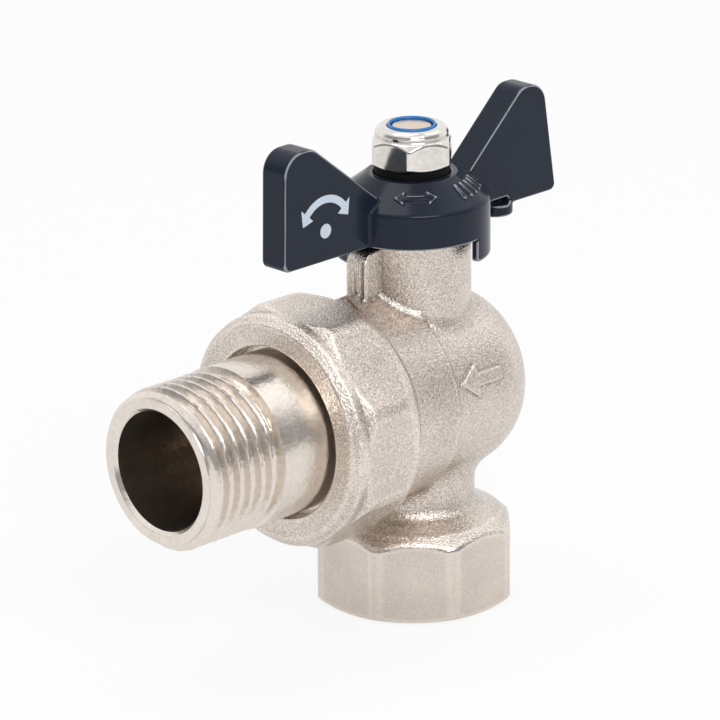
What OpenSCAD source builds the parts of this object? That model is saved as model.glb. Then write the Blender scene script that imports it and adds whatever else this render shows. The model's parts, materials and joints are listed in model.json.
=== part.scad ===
// Half inch angle ball valve with a union tail.
// The inlet and the stem share the Z axis, the outlet leaves along -X.
// Z = 0 is the flat bottom face of the inlet.

/* [Inlet] */
// Width across flats of the octagonal inlet
inlet_flats = 25.3; // [24.5:0.1:27]
// Height of the octagonal inlet's flats
inlet_h = 10.5; // [10:0.1:11]
// Radius of the female inlet thread (minor radius of a half inch thread)
inlet_thread_r = 9.3155; // [9:0.01:9.5]
// Depth of the female inlet thread
inlet_thread_depth = 9.4; // [8:0.1:9.6]
// Outer radius of the neck above the inlet
neck_r = 8.1; // [7.8:0.1:8.6]

/* [Housing] */
// Height of the outlet axis above the inlet face
axis_h = 28.7; // [28:0.1:30]
// Outer radius of the ball housing
housing_r = 12.5; // [12.2:0.1:13]
// Distance from the stem axis to the closed back of the housing
back_x = 13.75; // [13:0.05:15]
// Outer radius of the collar behind the union nut
collar_r = 13.4; // [13.3:0.05:14]
// Distance from the stem axis to the collar's step
collar_x = 4.8; // [4:0.1:6]
// Radius of the male union thread (three quarter inch, major radius)
union_thread_r = 13.2; // [13:0.01:13.3]
// Distance from the stem axis to the union face
union_x = 21.2; // [21:0.1:22]

/* [Bonnet] */
// Outer radius of the stem bonnet
bonnet_r = 7.65; // [7.2:0.05:8]
// Height of the top of the bonnet
bonnet_top = 51.4; // [50.6:0.1:51.6]
// Half the width of the stop rib beside the bonnet
rib_half = 1.65; // [1.4:0.05:1.8]
// Reach of the stop rib from the stem axis
rib_reach = 10.5; // [10:0.1:10.8]
// Height of the top of the stop rib
rib_top = 49.3; // [48.5:0.1:49.6]

/* [Ball] */
// Radius of the ball
ball_r = 10; // [9.8:0.05:10]
// Radius of the flow port through the ball
port_r = 6.25; // [5.5:0.05:6.4]

/* [Stem] */
// Radius of the stem shaft
stem_r = 4; // [3.8:0.05:4]
// Radius of the retaining flange at the foot of the stem
flange_r = 5.4; // [5.2:0.1:5.4]
// Radius of the threaded stem end
stem_end_r = 2.98; // [2.9:0.01:3]
// Height of the stem end
stem_top = 64; // [63.5:0.1:64.5]

/* [Handle] */
// Half the span of the butterfly handle
wing_reach = 25; // [23:0.1:27]
// Thickness of the wings
wing_t = 4.3; // [3.8:0.1:4.6]
// Height of the underside of the wings
wing_base = 50.2; // [50.2:0.1:50.8]
// Height of the top of the wings
wing_top = 65.5; // [64:0.1:67]
// Outer radius of the handle's skirt
skirt_r = 10.15; // [10:0.05:10.3]
// Inner radius of the handle's skirt
skirt_bore_r = 9.15; // [9.1:0.05:9.3]
// Height of the lower edge of the skirt
skirt_base = 47.25; // [47:0.05:48]
// Quarter turn of the handle in degrees
handle_turn = 90; // [90:90]

/* [Union nut] */
// Width across flats of the octagonal union nut
nut_flats = 30.4; // [30:0.1:31]
// Distance from the stem axis to the nut's front face
nut_front = 25.6; // [25.5:0.1:26]
// Distance from the stem axis to the nut's back face
nut_back = 13.9; // [13.8:0.1:14.2]
// Outer radius of the nut's flat front face
nut_face_r = 14.2; // [13.5:0.1:14.5]
// Radius of the hole in the nut's front wall
nut_hole_r = 11.4; // [11.2:0.05:11.5]

/* [Tail] */
// Distance from the stem axis to the end of the tail
tail_x = 45.5; // [44:0.1:50]
// Bore radius of the tail
tail_bore_r = 7.8; // [7.5:0.05:8]
// Radius of the male outlet thread (major radius of a half inch thread)
tail_thread_r = 10.4775; // [10.3:0.0005:10.5]
// Length of the male outlet thread, chamfer included
tail_thread_l = 12; // [10:0.5:15]
// Outer radius of the smooth neck of the tail
tail_neck_r = 10.65; // [10.65:0.05:10.8]

/* [Hidden] */
$fn = 96;
slip = 0.05;             // radial clearance of running fits
gap = 0.02;              // clearance between faces that meet
through = 1;             // how far a cutter runs past a face
oct_corner_r = 13.6;     // the octagon's corners are trimmed to this radius
housing_bore_r = ball_r + 0.3;
nose_r = housing_bore_r - 0.1;
retainer_thread_r = 11;
nose_x = 14;             // the retainer's nose runs inward from here
crown_angle = 27;        // slope of the inlet's crown
seat_r = 8.95;
seat_bore_r = 6.45;
seat_back = 9.5;
seat_front = 5.7;
nose_end = 5.2;
pocket_r = 5.6;
pocket_top = 41.3;
washer_t = 0.8;
flange_t = 1.25;
flange_base = pocket_top - washer_t - flange_t - 2 * gap;
slot_w = 3.2;
slot_depth = 2.6;
slot_base = axis_h + ball_r - slot_depth;
tang_l = 8.6;
stem_bore_r = stem_r + slip;
drive_base = bonnet_top + 0.6;
drive_top = 56.6;
drive_r = stem_r - 0.05;
drive_half = 3.05;
ring_section_r = 0.56;
lower_ring_h = 44.2;
upper_ring_h = 47.6;
rim_r = 5.9;
rim_h = 57.93;
recess_r = 5.05;
recess_floor = 57;
lug_clear = 0.35;
stop_angle = asin(rib_half / skirt_bore_r) + lug_clear;
window_start = 180 - stop_angle;
window_sweep = handle_turn + 2 * stop_angle;
lock_base = 59;
lock_top = 64.1;
lock_flats = 10;
insert_r = 3.55;
tail_flange_r = 11.95;
tail_flange_t = 1.9;
tail_face_x = union_x + 0.1;
nut_wall_x = tail_face_x + tail_flange_t + slip;
pipe_pitch = 1.814;      // of a half inch pipe thread
crest_w = 0.45;
thread_root_r = tail_thread_r - 1.03;
flank_w = (tail_thread_r - thread_root_r) * tan(27.5);

// Turns a shape drawn along +Z so that it points along -X at the outlet's height.
module along_outlet() {
    translate([0, 0, axis_h]) rotate([0, -90, 0]) children();
}

// A ring of round section, with its axis along Z.
module o_ring(middle_r, section_r) {
    rotate_extrude() translate([middle_r, 0]) circle(r = section_r);
}

// A regular prism with its first flat facing +X.
module prism(sides, flats, h) {
    rotate([0, 0, 180 / sides]) cylinder(r = flats / 2 / cos(180 / sides), h = h, $fn = sides);
}

// Points on an arc, for outlines made of straight runs and rounded corners.
function arc(x, y, r, from, to, steps = 6) =
    [for (i = [0 : steps]) let (a = from + (to - from) * i / steps) [x + r * cos(a), y + r * sin(a)]];

// The forged outside of the body.
module inlet_block() {
    crown_h = inlet_h + (inlet_flats / 2 - neck_r) * tan(crown_angle);
    intersection() {
        prism(8, inlet_flats, crown_h);
        rotate_extrude() polygon([
            [0, 0], [inlet_flats / 2 - 0.2, 0], [oct_corner_r, 0.75],
            [oct_corner_r, inlet_h - 0.7], [inlet_flats / 2, inlet_h],
            [neck_r, crown_h], [0, crown_h]
        ]);
    }
}

// The neck, with a round corner where it meets the sloping crown of the inlet.
module neck() {
    fillet = 1;
    corner_x = neck_r + fillet;
    corner_z = inlet_h + (inlet_flats / 2 - corner_x) * tan(crown_angle) + fillet / cos(crown_angle);
    foot_x = corner_x - fillet * sin(crown_angle);
    foot_z = corner_z - fillet * cos(crown_angle);
    cylinder(r = neck_r, h = axis_h);
    rotate_extrude() difference() {
        polygon([
            [0, corner_z], [corner_x, corner_z], [foot_x, foot_z - 0.01],
            [neck_r - 1, foot_z - 0.01], [0, foot_z - 0.01]
        ]);
        translate([corner_x, corner_z]) circle(r = fillet);
    }
}

module housing_shell() {
    round_r = 9.2;
    round_x = back_x - round_r;
    translate([0, 0, axis_h]) rotate([0, 90, 0]) {
        rotate_extrude() intersection() {
            union() {
                translate([0, -collar_x - 1]) square([housing_r, collar_x + 1 + round_x]);
                translate([housing_r - round_r, round_x]) circle(r = round_r);
                translate([0, round_x - 0.01]) square([housing_r - round_r, round_r + 0.01]);
            }
            translate([0, -30]) square([30, 60]);
        }
    }
    along_outlet() rotate_extrude() polygon([
        [0, collar_x], [collar_r - 0.35, collar_x], [collar_r, collar_x + 0.35],
        [collar_r, nut_back - 0.3], [union_thread_r, nut_back - 0.3],
        [union_thread_r, union_x - 0.8], [union_thread_r - 0.8, union_x], [0, union_x]
    ]);
}

// Flat flanks that rise from the top of the collar to the stop rib.
module collar_flanks() {
    foot_y = 6.37;
    foot_h = 11.68;
    top_h = foot_h + (foot_y - 1) * 0.545;
    translate([-nut_back + 0.3, 0, axis_h]) rotate([90, 0, 90]) linear_extrude(nut_back - 0.3 - collar_x)
        polygon([[-foot_y, foot_h], [-1, top_h], [1, top_h], [foot_y, foot_h], [0, 8]]);
}

module stop_rib() {
    tip_r = 2.2;
    rotate([90, 0, 0]) translate([0, 0, -rib_half]) linear_extrude(2 * rib_half) polygon(concat(
        [[-bonnet_r + 1, axis_h + 8], [-bonnet_r + 1, rib_top]],
        arc(-rib_reach + tip_r, rib_top - tip_r, tip_r, 90, 180),
        [[-rib_reach, axis_h + 8]]
    ));
}

module bonnet() {
    translate([0, 0, axis_h + 6]) cylinder(r = bonnet_r, h = bonnet_top - axis_h - 6.5);
    translate([0, 0, bonnet_top - 0.51]) cylinder(r1 = bonnet_r, r2 = bonnet_r - 0.5, h = 0.51);
    stop_rib();
}

module flow_cavity() {
    translate([0, 0, -through]) cylinder(r = inlet_thread_r, h = inlet_thread_depth + through);
    translate([0, 0, inlet_thread_depth - 0.01])
        cylinder(r1 = inlet_thread_r, r2 = port_r, h = inlet_thread_r - port_r);
    translate([0, 0, inlet_thread_depth]) cylinder(r = port_r, h = axis_h - inlet_thread_depth);
    along_outlet() {
        translate([0, 0, -nose_end]) cylinder(r = housing_bore_r, h = nose_end + nose_x);
        translate([0, 0, -seat_back - slip]) cylinder(r = seat_r + slip, h = seat_back);
        translate([0, 0, -ball_r - 0.4]) cylinder(r = seat_bore_r, h = ball_r);
        translate([0, 0, nose_x - 0.01])
            cylinder(r = retainer_thread_r + slip, h = union_x - nose_x + through);
    }
}

module stem_bore() {
    translate([0, 0, axis_h + 6]) cylinder(r = pocket_r, h = pocket_top - axis_h - 6);
    translate([0, 0, pocket_top - 0.01])
        cylinder(r = stem_bore_r, h = bonnet_top - pocket_top + through);
}

module body() {
    color([0.72, 0.69, 0.65]) difference() {
        union() {
            inlet_block();
            neck();
            housing_shell();
            collar_flanks();
            bonnet();
        }
        flow_cavity();
        stem_bore();
    }
}

// The threaded ring that closes the housing behind the ball, turned by its hexagon socket.
module seat_retainer() {
    socket_x = 15.5;
    groove_x = 12.2;
    color([0.78, 0.62, 0.32]) along_outlet() difference() {
        union() {
            translate([0, 0, nose_end]) cylinder(r = nose_r, h = nose_x - nose_end + 0.5);
            translate([0, 0, nose_x + 0.1])
                cylinder(r = retainer_thread_r, h = union_x - nose_x - 0.1);
        }
        translate([0, 0, nose_end - through])
            cylinder(r = seat_r + slip, h = seat_back - nose_end + through + gap);
        translate([0, 0, seat_back]) cylinder(r = seat_bore_r + 0.1, h = union_x);
        translate([0, 0, socket_x]) prism(6, 13.8, union_x);
        translate([0, 0, groove_x - 0.7]) difference() {
            cylinder(r = nose_r + through, h = 1.4);
            translate([0, 0, -through]) cylinder(r = nose_r - 1.15, h = 1.4 + 2 * through);
        }
    }
}

module retainer_o_ring() {
    groove_x = 12.2;
    color([0.08, 0.08, 0.08]) along_outlet() translate([0, 0, groove_x])
        o_ring(nose_r - 0.52, ring_section_r);
}

// A ring with a hollow face that fits the ball.
module seat() {
    difference() {
        translate([0, 0, seat_front]) cylinder(r = seat_r, h = seat_back - seat_front);
        translate([0, 0, seat_front - through])
            cylinder(r = seat_bore_r, h = seat_back - seat_front + 2 * through);
        sphere(r = ball_r + gap);
    }
}

module front_seat() {
    color([0.93, 0.93, 0.9]) along_outlet() seat();
}

module rear_seat() {
    color([0.93, 0.93, 0.9]) translate([0, 0, axis_h]) rotate([0, 90, 0]) seat();
}

module ball() {
    color([0.8, 0.81, 0.83]) difference() {
        translate([0, 0, axis_h]) sphere(r = ball_r);
        along_outlet() cylinder(r = port_r, h = ball_r + through);
        translate([0, 0, axis_h - ball_r - through]) cylinder(r = port_r, h = ball_r + through);
        translate([0, 0, axis_h]) sphere(r = port_r);
        translate([-slot_w / 2, -ball_r, slot_base]) cube([slot_w, 2 * ball_r, slot_depth + through]);
    }
}

module ring_groove(h) {
    groove_h = 1.4;
    translate([0, 0, h - groove_h / 2]) difference() {
        cylinder(r = stem_r + through, h = groove_h);
        translate([0, 0, -through]) cylinder(r = stem_r - 1.12, h = groove_h + 2 * through);
    }
}

module stem() {
    tang_w = slot_w - 0.2;
    color([0.78, 0.64, 0.4]) {
        difference() {
            union() {
                translate([-tang_w / 2, -tang_l / 2, slot_base + 0.2])
                    cube([tang_w, tang_l, flange_base - slot_base]);
                translate([0, 0, flange_base]) cylinder(r = flange_r, h = flange_t);
                translate([0, 0, flange_base + 0.1])
                    cylinder(r = stem_r, h = drive_base - flange_base - 0.1);
            }
            ring_groove(lower_ring_h);
            ring_groove(upper_ring_h);
        }
        intersection() {
            translate([0, 0, drive_base - 0.1]) cylinder(r = drive_r, h = drive_top - drive_base + 0.1);
            translate([-drive_r, -drive_half, drive_base - through])
                cube([2 * drive_r, 2 * drive_half, drive_top]);
        }
        translate([0, 0, drive_top - 0.1]) cylinder(r = stem_end_r, h = stem_top - drive_top - 0.4);
        translate([0, 0, stem_top - 0.51]) cylinder(r1 = stem_end_r, r2 = stem_end_r - 0.5, h = 0.51);
    }
}

module stem_thrust_washer() {
    color([0.93, 0.93, 0.9]) translate([0, 0, pocket_top - washer_t]) difference() {
        cylinder(r = pocket_r - slip, h = washer_t - gap);
        translate([0, 0, -through]) cylinder(r = stem_r + slip, h = washer_t + 2 * through);
    }
}

module lower_stem_o_ring() {
    color([0.08, 0.08, 0.08]) translate([0, 0, lower_ring_h]) o_ring(stem_r - 0.55, ring_section_r);
}

module upper_stem_o_ring() {
    color([0.08, 0.08, 0.08]) translate([0, 0, upper_ring_h]) o_ring(stem_r - 0.55, ring_section_r);
}

// Outline of one wing in the X-Z plane, from the hub outwards.
// The outer edge leans in by lean towards the top.
function wing_outline(lean, slope_x, crest_x) = concat(
    [[0, wing_base], [wing_reach - 1, wing_base]],
    arc(wing_reach - 0.9, wing_base + 0.9, 0.9, -90, 0, 4),
    arc(wing_reach - lean - 2.4, wing_top - 2.5, 2.5, 5, 75),
    arc(crest_x, wing_top - 1.6, 1.6, 90, 132, 4),
    [[slope_x, rim_h - 1.7], [0, rim_h - 1.7]]
);

module wing(lean, slope_x, crest_x) {
    translate([0, wing_t / 2, 0]) rotate([90, 0, 0]) linear_extrude(wing_t)
        polygon(wing_outline(lean, slope_x, crest_x));
}

module hub() {
    shoulder_h = 54.6;
    rotate_extrude() polygon(concat(
        [[0, skirt_base], [skirt_r, skirt_base]],
        arc(skirt_r - 0.7, shoulder_h - 0.2, 0.7, 0, 50, 4),
        [[rim_r, rim_h], [0, rim_h]]
    ));
}

// The round lug under the right wing, for a seal wire.
module seal_lug() {
    lug_r = 2.4;
    lug_base = 48.65;
    translate([15.5, 0, lug_base]) rotate_extrude() polygon([
        [0, 0], [lug_r - 0.3, 0], [lug_r, 0.3], [lug_r, wing_base + 0.4 - lug_base], [0, wing_base + 0.4 - lug_base]
    ]);
}

// The round-ended pocket in the wing's front face above the lug.
module seal_pocket() {
    pocket_h = 1.3;
    pocket_l = 2.2;
    translate([13.1, -0.9, wing_base + pocket_h / 2]) rotate([90, 0, 0]) {
        cylinder(r = pocket_h / 2, h = 3);
        translate([pocket_l, 0, 0]) cylinder(r = pocket_h / 2, h = 3);
        translate([0, -pocket_h / 2, 0]) cube([pocket_l, pocket_h, 3]);
    }
}

module handle() {
    color([0.2, 0.22, 0.26]) difference() {
        union() {
            difference() {
                hub();
                translate([0, 0, skirt_base - through]) rotate_extrude(angle = window_sweep, start = window_start)
                    square([skirt_r + 2, wing_base + through - skirt_base]);
            }
            wing(1.9, 8.4, 19.6);
            mirror([1, 0, 0]) wing(0.3, 7.95, 20.75);
            seal_lug();
        }
        seal_pocket();
        translate([0, 0, skirt_base - through])
            cylinder(r = skirt_bore_r, h = drive_base + gap - skirt_base + through);
        intersection() {
            cylinder(r = drive_r + slip, h = wing_top);
            translate([-drive_r - 1, -drive_half - slip, 0])
                cube([2 * drive_r + 2, 2 * (drive_half + slip), wing_top]);
        }
        translate([0, 0, recess_floor]) cylinder(r = recess_r, h = wing_top);
    }
}

module handle_washer() {
    color([0.05, 0.05, 0.05]) translate([0, 0, recess_floor + gap]) difference() {
        cylinder(r = recess_r - 0.1, h = lock_base - recess_floor - 2 * gap);
        translate([0, 0, -through]) cylinder(r = stem_end_r + slip, h = lock_base);
    }
}

module lock_nut() {
    corner_r = lock_flats / 2 / cos(30);
    collar_h = 62.9;
    color([0.78, 0.77, 0.74]) difference() {
        intersection() {
            union() {
                translate([0, 0, lock_base]) rotate([0, 0, 11]) prism(6, lock_flats, collar_h - lock_base);
                cylinder(r = 4.75, h = lock_top);
            }
            rotate_extrude() polygon(concat(
                [[0, lock_base], [corner_r - 0.75, lock_base], [corner_r, lock_base + 0.45],
                [corner_r, collar_h - 1.3], [4.8, collar_h - 0.45], [4.8, lock_top - 1]],
                arc(3.8, lock_top - 1, 1, 0, 90, 5),
                [[0, lock_top]]
            ));
        }
        translate([0, 0, lock_base - through]) cylinder(r = stem_end_r + gap, h = lock_top);
        translate([0, 0, lock_top - 1.7]) cylinder(r = insert_r, h = 1.3);
        translate([0, 0, lock_top - 0.5]) cylinder(r = insert_r - 0.3, h = through);
    }
}

module lock_nut_insert() {
    color([0.1, 0.42, 0.78]) translate([0, 0, lock_top - 1.65]) difference() {
        cylinder(r = insert_r - 0.35, h = 1.5);
        translate([0, 0, -through]) cylinder(r = stem_end_r + gap, h = 4);
    }
}

module union_nut() {
    nut_corner_r = nut_flats / 2 / cos(22.5);
    bevel = nut_flats / 2 - nut_face_r;
    corner_drop = 3.7;
    nut_turn = 3.8;
    color([0.72, 0.69, 0.65]) along_outlet() difference() {
        intersection() {
            rotate([0, 0, nut_turn]) translate([0, 0, nut_back]) prism(8, nut_flats, nut_front - nut_back);
            rotate_extrude() polygon([
                [0, nut_back], [nut_flats / 2 - 0.15, nut_back], [nut_corner_r, nut_back + 2.2],
                [nut_corner_r, nut_front - corner_drop], [nut_flats / 2 + 0.15, nut_front - 2.4],
                [nut_flats / 2, nut_front - bevel],
                [nut_face_r, nut_front], [0, nut_front]
            ]);
        }
        translate([0, 0, nut_back - through])
            cylinder(r = union_thread_r + slip, h = nut_wall_x - nut_back + through);
        cylinder(r = nut_hole_r, h = nut_front + through);
    }
}

// Crests and roots of the outlet thread as rings, one pitch apart, from its run-out to its end.
function thread_rings(last_crest_x, count) = [
    for (k = [count - 1 : -1 : 0]) let (x = last_crest_x - k * pipe_pitch)
        for (p = [[-1, thread_root_r], [-1, tail_thread_r], [1, tail_thread_r], [1, thread_root_r]])
            [p[1], x + p[0] * (crest_w / 2 + (p[1] == thread_root_r ? flank_w : 0))]
];

module tail_piece() {
    chamfer = 1;
    groove_in = 9;
    groove_out = 10.3;
    last_crest_x = tail_x - 2.82;
    thread_x = tail_x - tail_thread_l;
    color([0.74, 0.71, 0.67]) along_outlet() difference() {
        rotate_extrude() polygon(concat(
            [[tail_bore_r, tail_face_x], [tail_flange_r, tail_face_x],
            [tail_flange_r, tail_face_x + tail_flange_t], [tail_neck_r, tail_face_x + tail_flange_t],
            [tail_neck_r, thread_x], [thread_root_r, thread_x + 0.4]],
            thread_rings(last_crest_x, 5),
            [[thread_root_r, last_crest_x + pipe_pitch - crest_w / 2 - flank_w],
            [tail_thread_r, last_crest_x + pipe_pitch - crest_w / 2],
            [tail_thread_r, tail_x - chamfer], [tail_thread_r - chamfer, tail_x],
            [tail_bore_r + 0.35, tail_x], [tail_bore_r, tail_x - 0.35]]
        ));
        translate([0, 0, tail_face_x - through]) difference() {
            cylinder(r = groove_out, h = through + 1);
            translate([0, 0, -through]) cylinder(r = groove_in, h = 2 * through + 2);
        }
    }
}

module tail_o_ring() {
    color([0.08, 0.08, 0.08]) along_outlet() translate([0, 0, tail_face_x + 0.47])
        o_ring(9.65, 0.5);
}

body();
seat_retainer();
retainer_o_ring();
front_seat();
rear_seat();
ball();
stem();
stem_thrust_washer();
lower_stem_o_ring();
upper_stem_o_ring();
handle();
handle_washer();
lock_nut();
lock_nut_insert();
union_nut();
tail_piece();
tail_o_ring();
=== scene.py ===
import json
import math

import bmesh
import bpy
import numpy as np
import openvdb
from mathutils import Matrix, Vector

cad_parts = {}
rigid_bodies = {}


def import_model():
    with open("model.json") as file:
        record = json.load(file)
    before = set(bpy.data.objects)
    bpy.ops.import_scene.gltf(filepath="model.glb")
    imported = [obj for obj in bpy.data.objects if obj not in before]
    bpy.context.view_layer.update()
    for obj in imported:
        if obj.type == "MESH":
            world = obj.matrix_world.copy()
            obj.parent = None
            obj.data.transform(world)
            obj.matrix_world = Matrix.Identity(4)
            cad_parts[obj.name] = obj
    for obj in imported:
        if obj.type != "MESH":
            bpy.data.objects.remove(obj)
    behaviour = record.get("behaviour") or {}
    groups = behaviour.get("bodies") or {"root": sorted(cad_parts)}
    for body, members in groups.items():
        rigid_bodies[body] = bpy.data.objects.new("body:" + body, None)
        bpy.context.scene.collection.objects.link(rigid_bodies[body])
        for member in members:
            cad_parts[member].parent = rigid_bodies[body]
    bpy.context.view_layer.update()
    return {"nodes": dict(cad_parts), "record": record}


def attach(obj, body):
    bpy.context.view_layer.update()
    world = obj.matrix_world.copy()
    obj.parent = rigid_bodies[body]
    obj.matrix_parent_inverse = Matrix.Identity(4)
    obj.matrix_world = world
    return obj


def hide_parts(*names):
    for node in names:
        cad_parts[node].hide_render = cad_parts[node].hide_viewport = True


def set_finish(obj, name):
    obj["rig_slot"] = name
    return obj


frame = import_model()
print("frame loaded,", len(frame["nodes"]), "nodes")

# Shapes are worked out in millimetres, in the CAD's own frame, and made in metres.
mm = 0.001
axisHeight = 28.7        # the outlet's axis above the inlet face
pipePitch = 1.814        # half inch and three quarter inch pipe threads share it


# the camera stands where the picture was taken from: degrees, metres, and millimetres in the camera
cameraPlace = {
    "azimuth": -44.93,
    "elevation": 19.294,
    "roll": -0.449,
    "place": (-0.42118, -0.41248, 0.23845),
    "lens": 239.2,
    "sensor": 36,
    "near": 0.01,
    "far": 20,
}


def addCamera(settings):
    a, e, roll = (math.radians(settings[k]) for k in ("azimuth", "elevation", "roll"))
    right = Vector((math.cos(a), math.sin(a), 0))
    back = Vector((math.sin(a) * math.cos(e), -math.cos(a) * math.cos(e), math.sin(e)))
    up = back.cross(right)
    side = right * math.cos(roll) + up * math.sin(roll)
    top = up * math.cos(roll) - right * math.sin(roll)
    data = bpy.data.cameras.new("camera")
    data.lens, data.sensor_width = settings["lens"], settings["sensor"]
    data.clip_start, data.clip_end = settings["near"], settings["far"]
    camera = bpy.data.objects.new("camera", data)
    turn = Matrix((side, top, back)).transposed().to_4x4()
    camera.matrix_world = Matrix.Translation(settings["place"]) @ turn
    bpy.context.scene.collection.objects.link(camera)
    bpy.context.scene.camera = camera


addCamera(cameraPlace)


# A field is a distance in millimetres, below zero inside the metal.
def span(a, b):
    return np.sqrt(a * a + b * b)


def joinRound(a, b, r):          # both, with a fillet between them
    return np.maximum(r, np.minimum(a, b)) - span(np.maximum(r - a, 0), np.maximum(r - b, 0))


def meetRound(a, b, r):          # what they share, with a rounded edge
    return np.minimum(-r, np.maximum(a, b)) + span(np.maximum(r + a, 0), np.maximum(r + b, 0))


def cutRound(a, b, r):           # the first less the second
    return meetRound(a, -b, r)


def octagon(a, b, half, r):      # eight flats with softened corners between them
    a, b = abs(a), abs(b)
    return meetRound(np.maximum(a, b) - half, (a + b) * math.sqrt(0.5) - half, r)


def outlineDistance(px, py, points):
    best = np.full(np.broadcast(px, py).shape, 1e9)
    sign = np.ones_like(best)
    for (ax, ay), (bx, by) in zip(points, points[1:] + points[:1]):
        ex, ey = bx - ax, by - ay
        wx, wy = px - ax, py - ay
        t = np.clip((wx * ex + wy * ey) / (ex * ex + ey * ey), 0, 1)
        best = np.minimum(best, (wx - ex * t) ** 2 + (wy - ey * t) ** 2)
        above, below, left = py >= ay, py < by, ex * wy > ey * wx
        sign = np.where((above & below & left) | (~above & ~below & ~left), -sign, sign)
    return sign * np.sqrt(best)


def arcPoints(x, y, r, start, stop, steps):
    angles = np.radians(np.linspace(start, stop, steps + 1))
    return [(x + r * math.cos(a), y + r * math.sin(a)) for a in angles]


def addPiece(name, points, faces, body, slotName):
    mesh = bpy.data.meshes.new(name)
    mesh.from_pydata((np.asarray(points) * mm).tolist(), [], faces)
    mesh.shade_smooth()
    piece = bpy.data.objects.new(name, mesh)
    bpy.context.scene.collection.objects.link(piece)
    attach(piece, body)
    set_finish(piece, slotName)
    return piece


def bendAt(field, points, reach=0.4):    # how sharply the surface turns, above nought on edges
    total = -6 * field(*points.T)
    for axis in range(3):
        for side in (-reach, reach):
            moved = points.copy()
            moved[:, axis] += side
            total = total + field(*moved.T)
    return total / reach ** 2


# how a meshed field is settled on its true surface
settling = {"bandVoxels": 3, "rounds": 4, "probe": 0.02, "share": 0.8, "leastSlope": 0.05}


def pieceFromField(name, field, low, high, voxel, body, slotName, beside=None):
    axes = [np.arange(a, b + voxel, voxel) for a, b in zip(low, high)]
    x, y, z = np.meshgrid(*axes, indexing="ij", sparse=True)
    shape = tuple(len(a) for a in axes)
    values = np.broadcast_to(field(x, y, z), shape)
    band = settling["bandVoxels"] * voxel
    grid = openvdb.FloatGrid(band)
    grid.copyFromArray(np.ascontiguousarray(np.clip(values, -band, band), dtype=np.float32))
    points, quads = grid.convertToQuads()
    points = points.astype(float) * voxel + np.array(low)
    step = settling["probe"]
    for _ in range(settling["rounds"]):
        px, py, pz = points.T
        here = field(px, py, pz)
        slope = np.stack([
            field(px + step, py, pz) - field(px - step, py, pz),
            field(px, py + step, pz) - field(px, py - step, pz),
            field(px, py, pz + step) - field(px, py, pz - step),
        ], axis=1) / (2 * step)
        steep = np.maximum((slope ** 2).sum(axis=1), settling["leastSlope"])
        move = np.clip(here / steep, -voxel, voxel)
        points = points - slope * (settling["share"] * move)[:, None]
    piece = addPiece(name, points, quads[:, ::-1].tolist(), body, slotName)
    bend = piece.data.attributes.new("bend", "FLOAT", "POINT")
    # the neighbours' field joins the bend attribute, so painted shade falls on the colour beside them
    fieldWithShade = (lambda *p: np.minimum(field(*p), beside(*p))) if beside else field
    bend.data.foreach_set("value", bendAt(fieldWithShade, points).astype(np.float32))
    print(name, len(points), "points")
    return piece


def rounded(corners, steps=4):   # (along, radius, corner radius) to an outline
    outline = []
    count = len(corners)
    for i, (u, r, bend) in enumerate(corners):
        here = Vector((u, r))
        if bend <= 0:
            outline.append((u, r))
            continue
        before = (Vector(corners[i - 1][:2]) - here).normalized()
        after = (Vector(corners[(i + 1) % count][:2]) - here).normalized()
        half = before.angle(after) / 2
        reach = bend / math.tan(half)
        centre = here + (before + after).normalized() * (bend / math.sin(half))
        first, last = here + before * reach - centre, here + after * reach - centre
        turn = first.angle_signed(last)
        for k in range(steps + 1):
            spoke = first.copy()
            spoke.rotate(Matrix.Rotation(-turn * k / steps, 2))
            outline.append(tuple(centre + spoke))
    return outline


def onOutlet(u, r, angle):       # along -X, angles from -Y towards +Z
    return np.stack([-u, -r * np.cos(angle), axisHeight + r * np.sin(angle)], axis=-1)


def onStem(u, r, angle):         # along +Z
    return np.stack([r * np.cos(angle), r * np.sin(angle), u], axis=-1)


def turnedPiece(name, outlineAt, place, body, slotName, columns, crease=32, weld=2e-6):
    rings = []
    for i in range(columns + 1):
        angle = 2 * math.pi * i / columns
        ring = np.array(outlineAt(angle))
        rings.append(place(ring[:, 0], ring[:, 1], angle))
    points = np.concatenate(rings)
    n = len(rings[0])
    i, j = np.meshgrid(np.arange(columns), np.arange(n), indexing="ij")
    k = (j + 1) % n
    faces = np.stack([i * n + j, (i + 1) * n + j, (i + 1) * n + k, i * n + k], axis=-1)
    piece = addPiece(name, points, faces.reshape(-1, 4).tolist(), body, slotName)
    work = bmesh.new()
    work.from_mesh(piece.data)
    bmesh.ops.remove_doubles(work, verts=work.verts, dist=weld)
    bmesh.ops.dissolve_degenerate(work, edges=work.edges, dist=weld / 2)
    bmesh.ops.recalc_face_normals(work, faces=work.faces)
    work.to_mesh(piece.data)
    work.free()
    piece.data.shade_smooth()
    piece.data.set_sharp_from_angle(angle=math.radians(crease))
    print(name, len(piece.data.vertices), "points")
    return piece


# a pipe thread's profile in parts of the pitch: a flat crest, and flanks that ease into the root
threadForm = {"crestHalf": 0.085, "flank": 0.36, "ease": 1.8}
# where the points of half a pitch lie, close together beside the crest
halfPhases = (0, 0.07, 0.095, 0.13, 0.17, 0.215, 0.26, 0.31, 0.37, 0.43)
phases = np.array([-p for p in halfPhases[:0:-1]] + list(halfPhases) + [0.5])


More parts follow.
